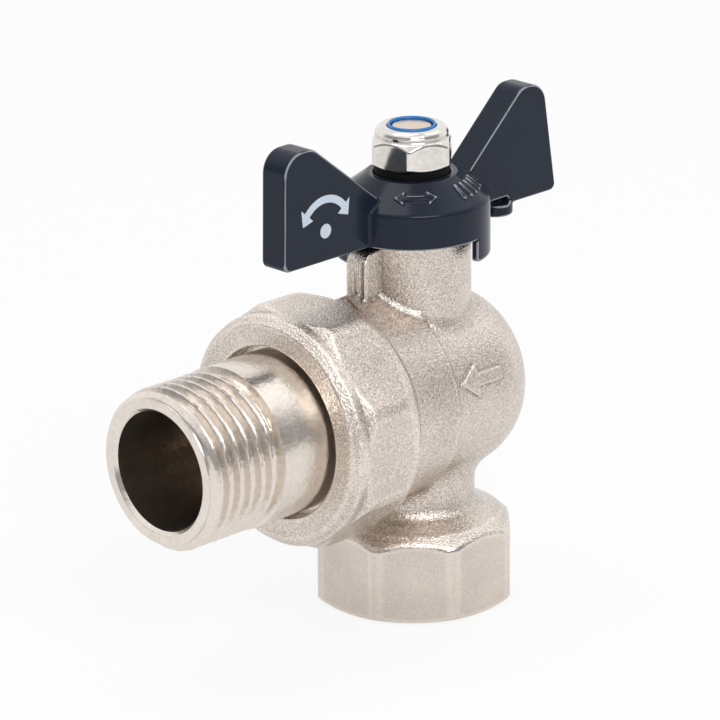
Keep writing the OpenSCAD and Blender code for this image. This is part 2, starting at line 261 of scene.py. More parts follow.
def threadRun(spec, angle):      # crest and root radii along a helix
    turns = angle / (2 * math.pi)
    first = math.floor((spec["start"] - spec["crest"]) / spec["pitch"]) - 2
    last = math.ceil((spec["stop"] - spec["crest"]) / spec["pitch"]) + 1
    steps = (np.arange(first, last + 1)[:, None] + phases[None, :]).ravel() + turns
    along = np.clip(spec["crest"] + spec["pitch"] * steps, spec["start"], spec["stop"])
    offset = (along - spec["crest"]) / spec["pitch"] - turns
    away = abs(offset - np.round(offset))
    down = np.clip((away - threadForm["crestHalf"]) / threadForm["flank"], 0, 1)
    depth = 1 - (1 - down) ** threadForm["ease"]
    return along, spec["top"] + (spec["root"] - spec["top"]) * depth


# the forged body
bodySize = {
    "flats": 25.3, "cornerSoft": 0.75, "foot": 12.45, "footSlope": 1.53, "footScale": 0.547,
    "crown": 10.85, "crownSteep": 0.85, "crownFlat": 0.4, "crownStep": 0.45, "crownRound": 0.4,
    "crownScale": 0.85, "crownFall": 0.08, "crownFallFrom": 4, "neck": 8.1, "neckFoot": 5,
    "housing": 12.5, "back": 13.75, "backRound": 9.2, "housingLap": 2,
    "collar": 13.4, "collarStep": 4.8, "collarEnd": 13.6, "collarRound": 0.3,
    "flankTilt": 28.6, "flank": 13.33, "flankFoot": 11.7,
    "core": 12.0, "coreEnd": 21.2, "bonnet": 7.65, "bonnetTop": 51.4, "bonnetRound": 0.5,
    "ribHalf": 1.65, "ribReach": 10.5, "ribTop": 49.3, "ribTip": 2.2, "ribRoot": 4, "ribEdge": 0.22,
    "ribGroove": -1.12, "grooveRadius": 0.36, "grooveInset": 0.03,
    "ribSeam": 0.25, "seamRadius": 0.2, "seamInset": 0.1, "seamDrop": 2.6,
    "arrowAngle": 16.7, "arrowHeight": 0.33, "arrowEdge": 0.12, "voxel": 0.2,
}
# the radius of the forging's blend where each form joins
bodyBlend = {"collar": 0.3, "bonnet": 0.95, "rib": 0.25, "neck": 1.5, "inlet": 1.1,
             "arrow": 0.1, "seam": 0.08}
# a plain arrow for the way of the flow, in millimetres along X and around the housing
flowArrow = [(-3.4, 0), (-0.2, -2.4), (-0.2, -0.85), (4.1, -0.85),
             (4.1, 0.85), (-0.2, 0.85), (-0.2, 2.4)]


def bodyOutside(x, y, z):
    s = bodySize
    around = span(x, y)
    block = octagon(x, y, s["flats"] / 2, s["cornerSoft"])
    inward = s["flats"] / 2 - around
    rise = np.minimum(inward * s["crownSteep"], inward * s["crownFlat"] + s["crownStep"])
    crown = s["crown"] + rise - s["crownFall"] * np.maximum(x - s["crownFallFrom"], 0)
    block = meetRound(block, (z - crown) * s["crownScale"], s["crownRound"])
    block = meetRound(block, (around - s["foot"] - z * s["footSlope"]) * s["footScale"], 0.12)
    block = meetRound(block, -z, 0.15)
    neck = meetRound(around - s["neck"], -(z - s["neckFoot"]), 0.1)
    neck = np.maximum(neck, z - axisHeight)
    high = z - axisHeight
    outlet = span(y, high)
    roundX = s["back"] - s["backRound"]
    inner = s["housing"] - s["backRound"]
    housing = span(np.maximum(x - roundX, 0), np.maximum(outlet - inner, 0)) - s["backRound"]
    housing = np.maximum(housing, -(x + s["collarStep"] + s["housingLap"]))
    collar = meetRound(outlet - s["collar"], x + s["collarStep"], s["collarRound"])
    tilt = math.radians(s["flankTilt"])
    flank = abs(y) * math.sin(tilt) + high * math.cos(tilt) - s["flank"]
    flank = meetRound(np.maximum(flank, s["flankFoot"] - high), x + s["collarStep"], s["collarRound"])
    collar = meetRound(np.minimum(collar, flank), -(x + s["collarEnd"]), 0.2)
    core = meetRound(outlet - s["core"], -(x + s["coreEnd"]), 0.3)
    core = np.maximum(core, x)
    bonnet = meetRound(around - s["bonnet"], z - s["bonnetTop"], s["bonnetRound"])
    bonnet = np.maximum(bonnet, axisHeight - z)
    tip = span(np.maximum(-(x + s["ribReach"] - s["ribTip"]), 0),
               np.maximum(z - s["ribTop"] + s["ribTip"], 0)) - s["ribTip"]
    rib = meetRound(abs(y) - s["ribHalf"], np.maximum(tip, x + s["ribRoot"]), s["ribEdge"])
    groove = span(y - s["ribGroove"], x + s["ribReach"] - s["grooveInset"]) - s["grooveRadius"]
    rib = cutRound(rib, groove, 0.05)
    seam = span(y - s["ribSeam"], x + s["ribReach"] - s["seamInset"]) - s["seamRadius"]
    rib = joinRound(rib, np.maximum(seam, z - s["ribTop"] + s["seamDrop"]), bodyBlend["seam"])
    rib = np.maximum(rib, axisHeight - z)
    shell = joinRound(housing, collar, bodyBlend["collar"])
    shell = joinRound(shell, bonnet, bodyBlend["bonnet"])
    shell = joinRound(shell, rib, bodyBlend["rib"])
    shell = joinRound(shell, neck, bodyBlend["neck"])
    shell = joinRound(shell, block, bodyBlend["inlet"])
    arc = (np.arctan2(high, -y) - math.radians(s["arrowAngle"])) * s["housing"]
    proud = abs(outlet - s["housing"]) - s["arrowHeight"]
    arrow = meetRound(outlineDistance(x, arc, flowArrow), proud, s["arrowEdge"])
    shell = joinRound(shell, arrow, bodyBlend["arrow"])
    return np.minimum(shell, core)


# the bores of the forging: the inlet's thread, mouth and passage, then the outlet's and the stem's steps
boreSize = {
    "thread": 10.52, "threadEnd": 9.45, "mouth": 10.95, "mouthDepth": 1,
    "passage": 6.25, "coneStart": 9.2, "coneTop": 12.3, "edge": 0.25,
    "outletSteps": [(10.3, 5.2), (9, 9.55), (6.45, 10.4), (11.05, -14)],     # radius, and x where it ends
    "stemSteps": [(5.6, 34, 41.3), (4.05, 40, 60)],                          # radius, and z from and to
}


def bodyInside(x, y, z):
    s = boreSize
    around = span(x, y)
    outlet = span(y, z - axisHeight)
    hole = meetRound(around - s["thread"], z - s["threadEnd"], 0.2)
    cone = np.maximum(around - s["passage"] - np.maximum(s["coneTop"] - z, 0), s["coneStart"] - z)
    hole = np.minimum(hole, np.maximum(cone, z - axisHeight))
    mouth = around - (s["mouth"] - z)
    hole = np.minimum(hole, np.maximum(mouth, z - s["mouthDepth"]))
    for radius, end in s["outletSteps"]:
        hole = np.minimum(hole, np.maximum(outlet - radius, x - end))
    for radius, start, end in s["stemSteps"]:
        hole = np.minimum(hole, np.maximum(np.maximum(around - radius, z - end), start - z))
    return hole


def bodyField(x, y, z):
    return cutRound(bodyOutside(x, y, z), bodyInside(x, y, z), boreSize["edge"])


# radii of what stands beside the body, and where each ends; close to them the body's colour gets painted
# shade
shadeBesideSize = {"nut": 15, "nutEnd": 12.5, "collar": 12.85, "collarEnd": 4.3, "skirt": 10, "skirtBase": 50.2}


def shadeBesideBody(x, y, z):         # painted shade: nut, collar and skirt darken the colour of what lies close beside them
    s = shadeBesideSize
    outlet = span(y, z - axisHeight)
    nut = np.maximum(x + s["nutEnd"], outlet - s["nut"])
    collar = np.maximum(x + s["collarEnd"], outlet - s["collar"])
    skirt = np.maximum(span(x, y) - s["skirt"], s["skirtBase"] - z)
    return np.minimum(np.minimum(nut, collar), skirt)


body = pieceFromField("body_forging", bodyField, (-22, -14.2, -0.7), (14.5, 14.2, 52.2),
                      bodySize["voxel"], "valve_body", "forged_nickel", shadeBesideBody)
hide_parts("body")

unionThread = {"start": 14.6, "stop": 21.1, "crest": 14.9, "pitch": pipePitch, "top": 13.2, "root": 12.06,
               "lead": 12.4, "runOut": 15.2, "runOutSlope": 1.5, "inner": 11.4, "back": 13.7}
inletThread = {"start": 0.6, "stop": 9.3, "crest": 1.2, "pitch": pipePitch, "top": 9.3155, "root": 10.4775,
               "mouth": 10.7, "outer": 10.6}


def unionThreadOutline(angle):
    s = unionThread
    along, radius = threadRun(s, angle)
    radius = np.minimum(radius, s["lead"] + (s["stop"] - along))
    radius = np.maximum(radius, np.minimum(s["top"], s["root"] + (s["runOut"] - along) * s["runOutSlope"]))
    inside = [(s["stop"], s["inner"]), (s["back"], s["inner"]), (s["back"], s["top"])]
    return list(zip(along, radius)) + inside


def inletThreadOutline(angle):
    s = inletThread
    along, radius = threadRun(s, angle)
    radius = np.maximum(radius, s["mouth"] - along)
    return list(zip(along, radius)) + [(s["stop"], s["outer"]), (s["start"], s["outer"])]


turnedPiece("body_union_thread", unionThreadOutline, onOutlet, "valve_body", "forged_nickel", 96)
turnedPiece("body_inlet_thread", inletThreadOutline, onStem, "valve_body", "forged_nickel", 96)


# the tail with its outlet thread
tailSize = {
    "face": 21.3, "flange": 11.95, "flangeEnd": 23.2, "neck": 10.65, "neckEnd": 33.5,
    "end": 45.5, "endRadius": 9.48, "endRound": 0.1, "bore": 7.8, "boreLead": 0.45, "boreLeadDepth": 0.5,
    "grooveDepth": 0.98, "grooveInner": 9, "grooveOuter": 10.3, "flangeRound": 0.25,
    "runOut": 33.95, "runOutSlope": 1.2, "neckSlope": 3,
    "ragged": 0.06, "raggedBand": 0.1, "raggedWaves": [(37, 5), (23, -3), (11, 7)],   # around, and along
}
tailThread = {"start": 33.62, "stop": 45.3, "crest": 35.42, "pitch": pipePitch, "top": 10.4775, "root": 9.45}


def tailOutline(angle):
    s = tailSize
    floor = s["face"] + s["grooveDepth"]
    inside = rounded([
        (s["end"], s["endRadius"], s["endRound"]), (s["end"], s["bore"] + s["boreLead"], s["endRound"]),
        (s["end"] - s["boreLeadDepth"], s["bore"], 0), (s["face"], s["bore"], 0),
        (s["face"], s["grooveInner"], 0), (floor, s["grooveInner"], 0),
        (floor, s["grooveOuter"], 0), (s["face"], s["grooveOuter"], 0),
        (s["face"], s["flange"], s["flangeRound"]), (s["flangeEnd"], s["flange"], s["flangeRound"]),
        (s["flangeEnd"], s["neck"], 0), (s["neckEnd"], s["neck"], 0),
    ])
    along, radius = threadRun(tailThread, angle)
    nicks = 1
    for turns, waves in s["raggedWaves"]:
        nicks = nicks * np.sin(angle * turns + along * waves)
    radius = radius + s["ragged"] * nicks * (radius > tailThread["top"] - s["raggedBand"])
    radius = np.minimum(radius, s["endRadius"] + (s["end"] - along))
    radius = np.minimum(radius, tailThread["root"] + np.maximum(along - s["runOut"], 0) * s["runOutSlope"])
    radius = np.maximum(radius, s["neck"] - (along - s["neckEnd"]) * s["neckSlope"])
    return inside + list(zip(along, radius))


tail = turnedPiece("tail_piece_turned", tailOutline, onOutlet, "tail_set", "turned_nickel", 240)
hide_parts("tail_piece")


# the union nut
nutSize = {
    "flats": 30.4, "turn": 3.8, "front": 25.6, "back": 13.9, "face": 14.2, "hole": 11.35,
    "wall": 23.25, "thread": 13.25, "cornerSoft": 0.8, "land": 15.3, "landEnd": 23.3,
    "landSlope": 0.85, "landScale": 0.76, "rearDepth": 2.2, "rearSlope": 0.62, "rearScale": 0.85,
    "edge": 0.12, "rearRound": 0.5, "backEdge": 0.2, "holeEdge": 0.25, "reach": 17.2, "voxel": 0.16,
}


def nutField(x, y, z):
    s = nutSize
    high = z - axisHeight
    around = span(y, high)
    along = -x
    c, t = math.cos(math.radians(s["turn"])), math.sin(math.radians(s["turn"]))
    # flats turned by a few degrees, as the nut was left when tightened
    a, b = y * c + high * t, high * c - y * t
    shape = octagon(a, b, s["flats"] / 2, s["cornerSoft"])
    corner = s["flats"] / 2 / math.cos(math.pi / 8)
    slope = (around - s["land"] - (s["landEnd"] - along) * s["landSlope"]) * s["landScale"]
    shape = meetRound(shape, np.minimum(slope, around - s["land"]), s["edge"])
    bevel = (around - s["face"] - (s["front"] - along)) * math.sqrt(0.5)
    shape = meetRound(shape, bevel, s["edge"])
    rear = (around - corner + (s["back"] + s["rearDepth"] - along) * s["rearSlope"]) * s["rearScale"]
    shape = meetRound(shape, rear, s["rearRound"])
    shape = meetRound(shape, along - s["front"], s["edge"])
    shape = meetRound(shape, s["back"] - along, s["backEdge"])
    hole = np.minimum(around - s["hole"], np.maximum(around - s["thread"], along - s["wall"]))
    return cutRound(shape, hole, s["holeEdge"])


nutReach = nutSize["reach"]
unionNut = pieceFromField("union_nut_forging", nutField, (-26.3, -nutReach, axisHeight - nutReach),
                          (-13.2, nutReach, axisHeight + nutReach), nutSize["voxel"],
                          "nut_set", "forged_nickel")
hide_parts("union_nut")


# the butterfly handle
handleSize = {
    "thick": 4.3, "base": 50.2, "top": 65.5, "reach": 25,
    "skirt": 10.15, "skirtBore": 9.15, "skirtBase": 47.25, "web": 52.02,
    "rim": 5.9, "rimHeight": 57.93, "recess": 5.05, "recessFloor": 57,
    "windowStart": 169.26, "windowSweep": 111.48, "edge": 0.42, "voxel": 0.17,
    "shoulder": (9.65, 54.87), "shoulderRound": 0.7, "shoulderHeight": 54.4, "shoulderSweep": 50,
    "drive": 4.0, "driveFlat": 3.1, "pastAxis": -20,
    "lugX": 15.5, "lugRadius": 2.4, "lugBase": 48.65, "lugEdge": 0.35, "lugLap": 0.4,
    "pocketX": 14.2, "pocketHalf": 1.25, "pocketRound": 0.55, "pocketBack": 0.9,
    # each wing's lean, where its slope meets the hub, and where its crest turns down
    "leftWing": (0.3, 7.95, 20.75), "rightWing": (1.9, 8.4, 19.6), "slopeDrop": 1.7,
    "tipInset": 1, "tipRound": 0.9, "topInset": 2.9, "topRound": 2.95, "crestInset": 0.25, "crestRound": 2.4,
}
coneMark = {
    "angle": 228, "radius": 7.75, "up": 2.4, "height": 0.34, "edge": 0.12,
    "ribAngle": 294, "ribStep": 9.5, "ribsEachSide": 2, "ribHalf": 0.3, "ribLength": 1.25, "ribEdge": 0.2,
}
# a plain double arrow for the turn of the handle, in millimetres around the cone and up its slope
turnArrow = [(-2.8, 0), (-1.5, -1.05), (-1.5, -0.42), (1.5, -0.42), (1.5, -1.05), (2.8, 0),
             (1.5, 1.05), (1.5, 0.42), (-1.5, 0.42), (-1.5, 1.05)]


def wingPoints(lean, slope, crest):
    s = handleSize
    tip, top, turn = s["tipRound"], s["topRound"], s["crestRound"]
    foot = s["rimHeight"] - s["slopeDrop"]
    return ([(0, s["base"]), (s["reach"] - s["tipInset"], s["base"])]
            + arcPoints(s["reach"] - tip, s["base"] + tip, tip, -90, 0, 6)
            + arcPoints(s["reach"] - lean - s["topInset"], s["top"] - top, top, 5, 84, 14)
            + arcPoints(crest - s["crestInset"], s["top"] - turn, turn, 90, 132, 8)
            + [(slope, foot), (0, foot)])


def coneMarks(x, y, z):          # the raised arrow and the grip ribs on the hub's cone
    s = coneMark
    around = span(x, y)
    outX, outZ = handleSize["shoulder"]
    fall = math.atan2(handleSize["rimHeight"] - outZ, outX - handleSize["rim"])
    up = (z - outZ) * math.sin(fall) - (around - outX) * math.cos(fall) - s["up"]
    proud = (z - outZ) * math.cos(fall) + (around - outX) * math.sin(fall)
    azimuth = np.degrees(np.arctan2(y, x)) % 360
    toArc = math.radians(1) * s["radius"]
    arrow = outlineDistance((azimuth - s["angle"]) * toArc, up, turnArrow)
    step, most = s["ribStep"], s["ribsEachSide"]
    place = azimuth - s["ribAngle"]
    nearest = np.clip(np.round(place / step), -most, most)
    offRib = abs(place - nearest * step) * toArc
    ribs = meetRound(offRib - s["ribHalf"], abs(up) - s["ribLength"], s["ribEdge"])
    return meetRound(np.minimum(arrow, ribs), abs(proud) - s["height"], s["edge"])


def handleField(x, y, z):
    s = handleSize
    around = span(x, y)
    bend = s["shoulderRound"]
    hubPoints = ([(s["pastAxis"], s["skirtBase"]), (s["skirt"], s["skirtBase"])]
                 + arcPoints(s["skirt"] - bend, s["shoulderHeight"], bend, 0, s["shoulderSweep"], 4)
                 + [(s["rim"], s["rimHeight"]), (s["pastAxis"], s["rimHeight"])])
    hub = outlineDistance(around, z, hubPoints)
    hub = cutRound(hub, skirtWindow(x, y, z), 0.25)
    left = outlineDistance(-x, z, wingPoints(*s["leftWing"]))
    right = outlineDistance(x, z, wingPoints(*s["rightWing"]))
    slab = abs(y) - s["thick"] / 2
    wings = np.minimum(meetRound(np.maximum(left, x), slab, s["edge"]),
                       meetRound(np.maximum(right, -x), slab, s["edge"]))
    hub = joinRound(hub, coneMarks(x, y, z), 0.08)
    shape = joinRound(hub, wings, 0.3)
    lug = meetRound(span(x - s["lugX"], y) - s["lugRadius"], s["lugBase"] - z, s["lugEdge"])
    shape = joinRound(shape, np.maximum(lug, z - s["base"] - s["lugLap"]), 0.2)
    aside = np.maximum(abs(x - s["pocketX"]) - s["pocketHalf"], 0)
    pocket = span(aside, z - s["base"] - s["pocketRound"]) - s["pocketRound"]
    shape = cutRound(shape, np.maximum(pocket, y + s["pocketBack"]), 0.2)
    bore = np.maximum(around - s["skirtBore"], z - s["web"])
    drive = np.maximum(around - s["drive"], abs(y) - s["driveFlat"])
    recess = np.maximum(around - s["recess"], s["recessFloor"] - z)
    return cutRound(shape, np.minimum(np.minimum(bore, drive), recess), 0.2)


def skirtWindow(x, y, z):        # the gap in the skirt between the two stops
    s = handleSize
    start = math.radians(s["windowStart"])
    stop = math.radians(s["windowStart"] + s["windowSweep"])
    sideA = x * math.sin(start) - y * math.cos(start)
    sideB = -x * math.sin(stop) + y * math.cos(stop)
    return np.maximum(np.maximum(sideA, sideB), z - s["base"])


handle = pieceFromField("handle_moulding", handleField, (-25.6, -10.8, 46.6), (25.6, 10.8, 66.2),
                        handleSize["voxel"], "handle_set", "handle_paint")
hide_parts("handle")


# a printed turn sign on the left wing's front face: an arc with two heads, and its pivot
turnSign = {"x": -17.8, "z": 54.3, "radius": 4.2, "half": 0.5, "from": 40, "to": 140,
            "headHalf": 1.35, "headTurn": 22, "pivot": 0.95, "face": -2.15, "film": 0.03}


def signOutlines(s):
    on = lambda r, a: (s["x"] + r * math.cos(math.radians(a)), s["z"] + r * math.sin(math.radians(a)))
    outer, inner = s["radius"] + s["half"], s["radius"] - s["half"]
    sweep = np.linspace(s["from"], s["to"], 25)
    headOut, headIn = s["radius"] + s["headHalf"], s["radius"] - s["headHalf"]
    arc = [on(outer, a) for a in sweep]
    arc += [on(headOut, s["to"]), on(s["radius"], s["to"] + s["headTurn"]), on(headIn, s["to"])]
    arc += [on(inner, a) for a in sweep[::-1]]
    arc += [on(headIn, s["from"]), on(s["radius"], s["from"] - s["headTurn"]), on(headOut, s["from"])]
    return [arc, [on(s["pivot"], a) for a in range(0, 360, 12)]]


def printedSign(name, s, body, slotName):
    points, faces = [], []
    for outline in signOutlines(s):
        first, n = len(points), len(outline)
        for y in (s["face"] - s["film"], s["face"] + s["film"]):   # half of the film lies in the wing
            points += [(x, y, z) for x, z in outline]
        faces.append([first + i for i in range(n)])
        faces.append([first + n + i for i in reversed(range(n))])
        for i in range(n):
            j = (i + 1) % n
            faces.append([first + j, first + i, first + n + i, first + n + j])
    piece = addPiece(name, points, faces, body, slotName)
    piece.data.set_sharp_from_angle(angle=math.radians(30))
    return piece


wingSign = printedSign("wing_turn_sign", turnSign, "handle_set", "handle_paint")

# the lock nut, its ring and the washer on top of the stem
lockSize = {
    "base": 59, "hexTop": 62.9, "hexDrop": 0.15, "top": 64.1, "flats": 10, "turn": 11, "cornerTrim": 0.1,
    "chamfer": 1.1, "chamferScale": 0.7, "foot": 0.5, "footSlope": 1.6, "footScale": 0.53,
    "collar": 4.75, "domeRound": 0.95, "grooveInset": 0.05, "groove": 0.16, "line": 0.09, "lineDrop": 0.62,
    "thread": 3.02, "mouth": 3.25, "mouthDepth": 1.7, "voxel": 0.08,
}


def lockField(x, y, z):
    s = lockSize
    around = span(x, y)
    angle = math.radians(s["turn"])
    shape = -1e9
    for k in range(3):
        a = angle + k * math.pi / 3
        shape = np.maximum(shape, abs(x * math.cos(a) + y * math.sin(a)) - s["flats"] / 2)
    corner = s["flats"] / 2 / math.cos(math.pi / 6)
    shape = meetRound(shape, around - corner + s["cornerTrim"], 0.15)
    chamfer = around - corner + (z - s["hexTop"] + s["chamfer"])
    shape = meetRound(shape, chamfer * s["chamferScale"], 0.2)
    foot = around - corner + (s["base"] + s["foot"] - z) * s["footSlope"]
    shape = meetRound(shape, foot * s["footScale"], 0.15)
    shape = meetRound(shape, z - s["hexTop"] + s["hexDrop"], 0.2)
    inset = s["grooveInset"]
    groove = span(around - s["collar"] - inset, z - s["hexTop"] - inset) - s["groove"]
    dome = meetRound(around - s["collar"], z - s["top"], s["domeRound"])
    line = span(around - s["collar"], z - s["top"] + s["lineDrop"]) - s["line"]
    shape = np.minimum(shape, dome)
    shape = cutRound(shape, np.minimum(groove, line), 0.05)
    shape = meetRound(shape, s["base"] - z, 0.1)
    mouth = np.maximum(around - s["mouth"], s["top"] - s["mouthDepth"] - z)
    hole = np.minimum(around - s["thread"], mouth)
    return cutRound(shape, hole, 0.15)


lockNut = pieceFromField("lock_nut_plated", lockField, (-6.4, -6.4, 58.7), (6.4, 6.4, 64.5),
                         lockSize["voxel"], "handle_set", "bright_nut")
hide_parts("lock_nut")


insertSize = {"foot": 62.45, "top": 64.34, "outer": 3.2, "hole": 3.03,
              "lip": 2.62, "lipFoot": 63.55, "edge": 0.25}


def insertOutline(angle):
    s = insertSize
    return rounded([(s["foot"], s["hole"], 0), (s["foot"], s["outer"], 0), (s["top"], s["outer"], s["edge"]),
                    (s["top"], s["lip"], s["edge"]), (s["lipFoot"], s["hole"], 0)])


insert = turnedPiece("lock_nut_ring", insertOutline, onStem, "handle_set", "blue_nylon", 64)
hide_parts("lock_nut_insert")


washerSize = {"foot": 57.02, "top": 58.98, "outer": 4.95, "hole": 3.05, "footEdge": 0.2, "topEdge": 0.3}


def washerOutline(angle):
    s = washerSize
    return rounded([(s["foot"], s["hole"], 0), (s["foot"], s["outer"], s["footEdge"]),
                    (s["top"], s["outer"], s["topEdge"]), (s["top"], s["hole"], 0)])


washer = turnedPiece("handle_washer_black", washerOutline, onStem, "handle_set", "black_steel", 64)
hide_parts("handle_washer")
print("shapes done")


class Socket:                    # one output, used in plain arithmetic
    def __init__(self, tree, out):
        self.tree, self.out = tree, out

    def math(self, operation, *values):
        inputs = {i: v for i, v in enumerate(values)}
        return addNode(self.tree, "ShaderNodeMath", {"operation": operation}, inputs)

    def __add__(self, other):
        return self.math("ADD", self, other)

    def __sub__(self, other):
        return self.math("SUBTRACT", self, other)

    def __rsub__(self, other):
        return self.math("SUBTRACT", other, self)

    def __mul__(self, other):
        return self.math("MULTIPLY", self, other)

    __radd__, __rmul__ = __add__, __mul__

    def clamp(self, low=0.0, high=1.0):
        return addNode(self.tree, "ShaderNodeClamp", None, {"Value": self, "Min": low, "Max": high})


def addNode(tree, kind, settings=None, inputs=None, output=0):
    node = tree.nodes.new(kind)
    for name, value in (settings or {}).items():
        if name == "stops":
            while len(node.color_ramp.elements) < len(value):
                node.color_ramp.elements.new(0.5)
            for stop, (place, grey) in zip(node.color_ramp.elements, value):
                stop.position, stop.color = place, (grey, grey, grey, 1)
        else:
            setattr(node, name, value)
    for name, value in (inputs or {}).items():
        if isinstance(value, Socket):
            tree.links.new(value.out, node.inputs[name])
        else:
            node.inputs[name].default_value = value
    return Socket(tree, node.outputs[output]) if node.outputs else node


def mixColour(tree, factor, a, b):
    asColour = lambda c: c if isinstance(c, Socket) else (*c, 1)
    return addNode(tree, "ShaderNodeMix", {"data_type": "RGBA"},
                   {0: factor, 6: asColour(a), 7: asColour(b)}, 2)


def newMaterial(name):
    material = bpy.data.materials.new(name)
    material.use_nodes = True
    tree = material.node_tree
    tree.nodes.clear()
    return material, tree


def finishSurface(tree, **values):
    shader = addNode(tree, "ShaderNodeBsdfPrincipled", None,
                     {k.replace("_", " "): v for k, v in values.items()})
    addNode(tree, "ShaderNodeOutputMaterial", None, {"Surface": shader})


def objectPlace(tree):
    return addNode(tree, "ShaderNodeTexCoord", output="Object")


def noise(tree, scale, detail, roughness=0.6):
    return addNode(tree, "ShaderNodeTexNoise", None, {
        "Vector": objectPlace(tree), "Scale": scale, "Detail": detail, "Roughness": roughness})


def bump(tree, height, distance):
    return addNode(tree, "ShaderNodeBump", None, {"Height": height, "Distance": distance, "Strength": 1.0})


def edgeWear(tree, amount, deepestShade=-0.6, edge=0.14):   # lighter on edges, with wear and painted highlight; darker in hollows and beside other parts, as painted shade
    bend = addNode(tree, "ShaderNodeAttribute", {"attribute_name": "bend"}, output="Fac")
    return (bend * amount).clamp(deepestShade, edge)


# what every metal shares: how far its patches change the tone and the gloss, and the sawn flats' grain
metalShare = {"patchTone": 0.5, "patchRough": 0.1, "sawnSharp": 2000, "sawnGrain": 0.35}


def metalMaterial(name, s):
    material, tree = newMaterial(name)
    share = metalShare
    fine = noise(tree, s["grain"], 2.0)
    broad = noise(tree, s["patches"], 3.0)
    specks = (fine - 0.5) * s["speckle"]
    height = fine + broad * s["waves"]
    if "sawnBelow" in s:         # the flats of the inlet are smoother than what stands above them
        up = addNode(tree, "ShaderNodeSeparateXYZ", None, {0: objectPlace(tree)}, "Z")
        least = share["sawnGrain"]
        coarse = ((up - s["sawnBelow"]) * share["sawnSharp"] + least).clamp(least, 1)
        specks, height = specks * coarse, height * coarse
    patch = broad - 0.5
    # the tone takes painted highlight and wear on edges, and painted shade in hollows and beside other parts
    tone = (patch * share["patchTone"] + specks + edgeWear(tree, s["wearLightAndShade"]) + s["middle"]).clamp()
    finishSurface(tree, Base_Color=mixColour(tree, tone, s["dark"], s["light"]), Metallic=1.0,
                  Roughness=patch * share["patchRough"] + s["rough"], Normal=bump(tree, height, s["depth"]))
    return material


# in each metal below, the amount for edges and hollows lightens edges (wear and painted highlight) and
# darkens hollows and places beside other parts (painted shade)
forgedNickel = {"dark": (0.30, 0.26, 0.225), "light": (0.93, 0.84, 0.76), "rough": 0.2, "grain": 3700,
                "patches": 120, "speckle": 1.5, "middle": 0.64, "wearLightAndShade": 0.16, "depth": 0.00013, "waves": 0,
                "sawnBelow": 0.0103}
turnedNickel = {"dark": (0.55, 0.48, 0.42), "light": (0.90, 0.83, 0.76), "rough": 0.24, "grain": 1900,
                "patches": 260, "speckle": 0.5, "middle": 0.72, "wearLightAndShade": 0.12, "depth": 0.00003, "waves": 4}
paleBrass = {"dark": (0.68, 0.54, 0.42), "light": (0.83, 0.70, 0.58), "rough": 0.25, "grain": 1800,
             "patches": 200, "speckle": 0.4, "middle": 0.5, "wearLightAndShade": 0.1, "depth": 0.00001, "waves": 0}
ballChrome = {"dark": (0.72, 0.73, 0.75), "light": (0.84, 0.85, 0.87), "rough": 0.08, "grain": 2000,
              "patches": 150, "speckle": 0.2, "middle": 0.5, "wearLightAndShade": 0.1, "depth": 0.000002, "waves": 0}
brightZinc = {"dark": (0.54, 0.50, 0.46), "light": (0.92, 0.89, 0.85), "rough": 0.11, "grain": 1500,
              "patches": 400, "speckle": 0.7, "middle": 0.5, "wearLightAndShade": 0.1, "depth": 0.000004, "waves": 0}


# what paint, plastic and rubber share: a broad mottle of the tone, and a little change of gloss
plainShare = {"mottle": 220, "mottleTone": 0.8, "mottleLift": 0.1, "grainRough": 0.06}


def plainMaterial(name, s):
    material, tree = newMaterial(name)
    share = plainShare
    fine = noise(tree, s["grain"], 3.0)
    tone = (noise(tree, share["mottle"], 2.0, 0.5) * share["mottleTone"] + share["mottleLift"]).clamp()
    colour = mixColour(tree, tone, s["dark"], s["light"])
    if "edge" in s:              # painted highlight lines on sharp edges, partly thin paint
        edgeHighlight = (edgeWear(tree, s["edgeWear"]) - s["edgeFrom"]) * s["edgeSharp"]
        colour = mixColour(tree, edgeHighlight.clamp(), colour, s["edge"])
    finishSurface(tree, Base_Color=colour, Metallic=0.0, Normal=bump(tree, fine, s["depth"]),
                  Roughness=(fine - 0.5) * share["grainRough"] + s["rough"],
                  Specular_IOR_Level=s.get("specular", 0.5))
    return material


# the pale edge colour is painted highlight on sharp edges, partly thin paint
slateEnamel = {"dark": (0.008, 0.012, 0.023), "light": (0.016, 0.023, 0.040), "edge": (0.26, 0.28, 0.32),
               "edgeWear": 0.05, "edgeFrom": 0.116, "edgeSharp": 55,
               "rough": 0.15, "grain": 1200, "depth": 0.00001, "specular": 0.2}
paleInk = {"dark": (0.50, 0.58, 0.68), "light": (0.62, 0.69, 0.79), "rough": 0.45,
           "grain": 2500, "depth": 0.00001}
seatPlastic = {"dark": (0.80, 0.80, 0.77), "light": (0.88, 0.88, 0.85), "rough": 0.5,
               "grain": 2000, "depth": 0.00001}
sealRubber = {"dark": (0.012, 0.012, 0.012), "light": (0.020, 0.020, 0.020), "rough": 0.55,
              "grain": 3000, "depth": 0.00001}
blackOxide = {"dark": (0.003, 0.003, 0.003), "light": (0.006, 0.006, 0.006), "rough": 0.6,
              "grain": 3000, "depth": 0.00001, "specular": 0.1}
blueNylon = {"dark": (0.012, 0.15, 0.45), "light": (0.025, 0.22, 0.60), "rough": 0.3,
             "grain": 3000, "depth": 0.00001}

